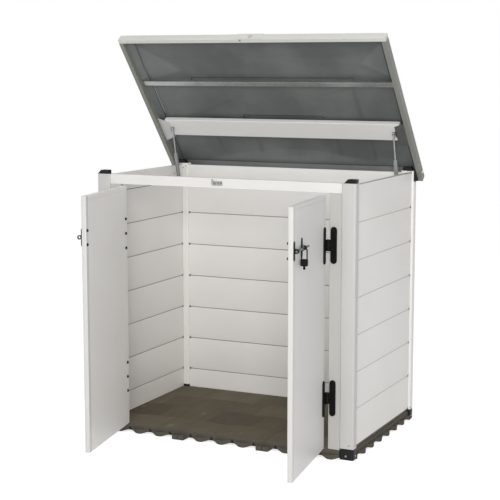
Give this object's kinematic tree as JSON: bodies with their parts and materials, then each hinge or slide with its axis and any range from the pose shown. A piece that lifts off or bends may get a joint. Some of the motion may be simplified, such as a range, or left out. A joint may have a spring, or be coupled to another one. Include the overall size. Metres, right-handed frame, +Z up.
{
  "type": "garden storage box",
  "caption": "Outdoor resin storage box with boarded walls, double front doors on surface hinges, a gas-strut lifting lid and an interlocking tile floor",
  "frame": {"origin": "middle of the footprint of the closed box, on the ground, in the underside of the front middle floor tile", "axes": "+X to the right seen from the front, +Y from the doors to the back wall, +Z up"},
  "size_m": [1.292, 1.2943, 1.7644],
  "materials": {
    "white_plastic": "smooth extruded resin",
    "lid_cream": "smooth moulded resin",
    "liner_plastic": "dark grey vacuum-formed sheet",
    "black_plastic": "fine-grained moulding",
    "floor_plastic": "wood-look printed tile",
    "black_metal": "powder coat",
    "strut_paint": "silver grey gloss paint",
    "bright_steel": "zinc plated",
    "dark_zinc": "weathered zinc plate"
  },
  "bodies": {
    "root": {"floor_tile_front_left": "floor_plastic", "floor_tile_front_middle": "floor_plastic", "floor_tile_front_right": "floor_plastic", "floor_tile_rear_left": "floor_plastic", "floor_tile_rear_middle": "floor_plastic", "floor_tile_rear_right": "floor_plastic", "post_front_left": "white_plastic", "post_front_right": "white_plastic", "post_rear_left": "white_plastic", "post_rear_right": "white_plastic", "post_feet": "black_plastic", "post_caps": "black_plastic", "side_wall_left": "white_plastic", "side_wall_right": "white_plastic", "back_wall": "white_plastic", "bottom_rail_left": "floor_plastic", "bottom_rail_right": "floor_plastic", "bottom_rail_back": "floor_plastic", "jamb_left": "white_plastic", "jamb_right": "white_plastic", "lintel": "white_plastic", "lintel_keeper": "bright_steel", "hinge_frame_leaves": "black_metal", "hinge_pins": "bright_steel", "lid_hinge_blocks": "black_plastic", "lid_hinge_bolts": "bright_steel", "strut_wall_brackets": "bright_steel"},
    "right_door": {"door_panel_right": "white_plastic", "door_stile_right": "white_plastic", "door_top_cap_right": "white_plastic", "door_hinge_leaves_right": "black_metal", "door_plugs_right": "black_plastic", "latch_guides": "black_metal"},
    "left_door": {"door_panel_left": "white_plastic", "door_stile_left": "white_plastic", "door_top_cap_left": "white_plastic", "door_hinge_leaves_left": "black_metal", "door_plugs_left": "black_plastic", "latch_staple": "black_metal"},
    "latch_bolt": {"latch_bolt": "dark_zinc"},
    "padlock": {"padlock_shackle": "black_metal", "padlock_body": "black_metal", "padlock_key": "black_metal"},
    "lid": {"lid_front_rail": "lid_cream", "lid_side_rail_left": "lid_cream", "lid_side_rail_right": "lid_cream", "lid_rear_flange": "lid_cream", "lid_skin": "lid_cream", "lid_liner": "liner_plastic", "lid_cross_bar": "bright_steel", "lid_beam": "white_plastic", "lid_strut_brackets": "bright_steel", "lid_lock_plate": "lid_cream"},
    "lid_lock_barrel": {"lid_lock_barrel": "bright_steel"},
    "strut_cylinder_left": {"strut_cylinder_left": "strut_paint"},
    "strut_cylinder_right": {"strut_cylinder_right": "strut_paint"},
    "strut_rod_left": {"strut_rod_left": "bright_steel"},
    "strut_rod_right": {"strut_rod_right": "bright_steel"}
  },
  "joints": [
    {"name": "right_door_hinge", "type": "hinge", "parent": "root", "child": "right_door", "pos_m": [0.4925, -0.391, 0.58], "axis": [0, 0, 1], "range_deg": [-98, 72]},
    {"name": "left_door_hinge", "type": "hinge", "parent": "root", "child": "left_door", "pos_m": [-0.4925, -0.391, 0.58], "axis": [0, 0, -1], "range_deg": [-79, 91]},
    {"name": "latch_slide", "type": "slide", "parent": "right_door", "child": "latch_bolt", "axis": [0.1392, -0.9903, 0], "range_m": [0, 0.045]},
    {"name": "padlock_swing", "type": "hinge", "parent": "latch_bolt", "child": "padlock", "pos_m": [0.54819, -0.78004, 0.936], "axis": [0.9903, 0.1392, 0], "range_deg": [-35, 35]},
    {"name": "lid_hinge", "type": "hinge", "parent": "root", "child": "lid", "pos_m": [0, 0.361, 1.152], "axis": [-1, 0, 0], "range_deg": [-50, 0]},
    {"name": "lid_lock_turn", "type": "hinge", "parent": "lid", "child": "lid_lock_barrel", "pos_m": [0.0195, -0.13603, 1.75055], "axis": [0, -0.6428, 0.766], "range_deg": [0, 90]},
    {"name": "strut_pivot_left", "type": "hinge", "parent": "root", "child": "strut_cylinder_left", "pos_m": [-0.556, 0.27, 1.085], "axis": [-1, 0, 0], "range_deg": [-51.41, 0.3]},
    {"name": "strut_slide_left", "type": "slide", "parent": "strut_cylinder_left", "child": "strut_rod_left", "axis": [0, -0.2276, 0.9738], "range_m": [-0.09594, 0.0005]},
    {"name": "strut_pivot_right", "type": "hinge", "parent": "root", "child": "strut_cylinder_right", "pos_m": [0.556, 0.27, 1.085], "axis": [-1, 0, 0], "range_deg": [-51.41, 0.3]},
    {"name": "strut_slide_right", "type": "slide", "parent": "strut_cylinder_right", "child": "strut_rod_right", "axis": [0, -0.2276, 0.9738], "range_m": [-0.09594, 0.0005]}
  ],
  "couplings": [
    {"joint": "strut_pivot_left", "follows": "lid_hinge", "ratio": 1.0222},
    {"joint": "strut_slide_left", "follows": "lid_hinge", "m_per_rad": 0.10937},
    {"joint": "strut_pivot_right", "follows": "lid_hinge", "ratio": 1.0222},
    {"joint": "strut_slide_right", "follows": "lid_hinge", "m_per_rad": 0.10937}
  ]
}
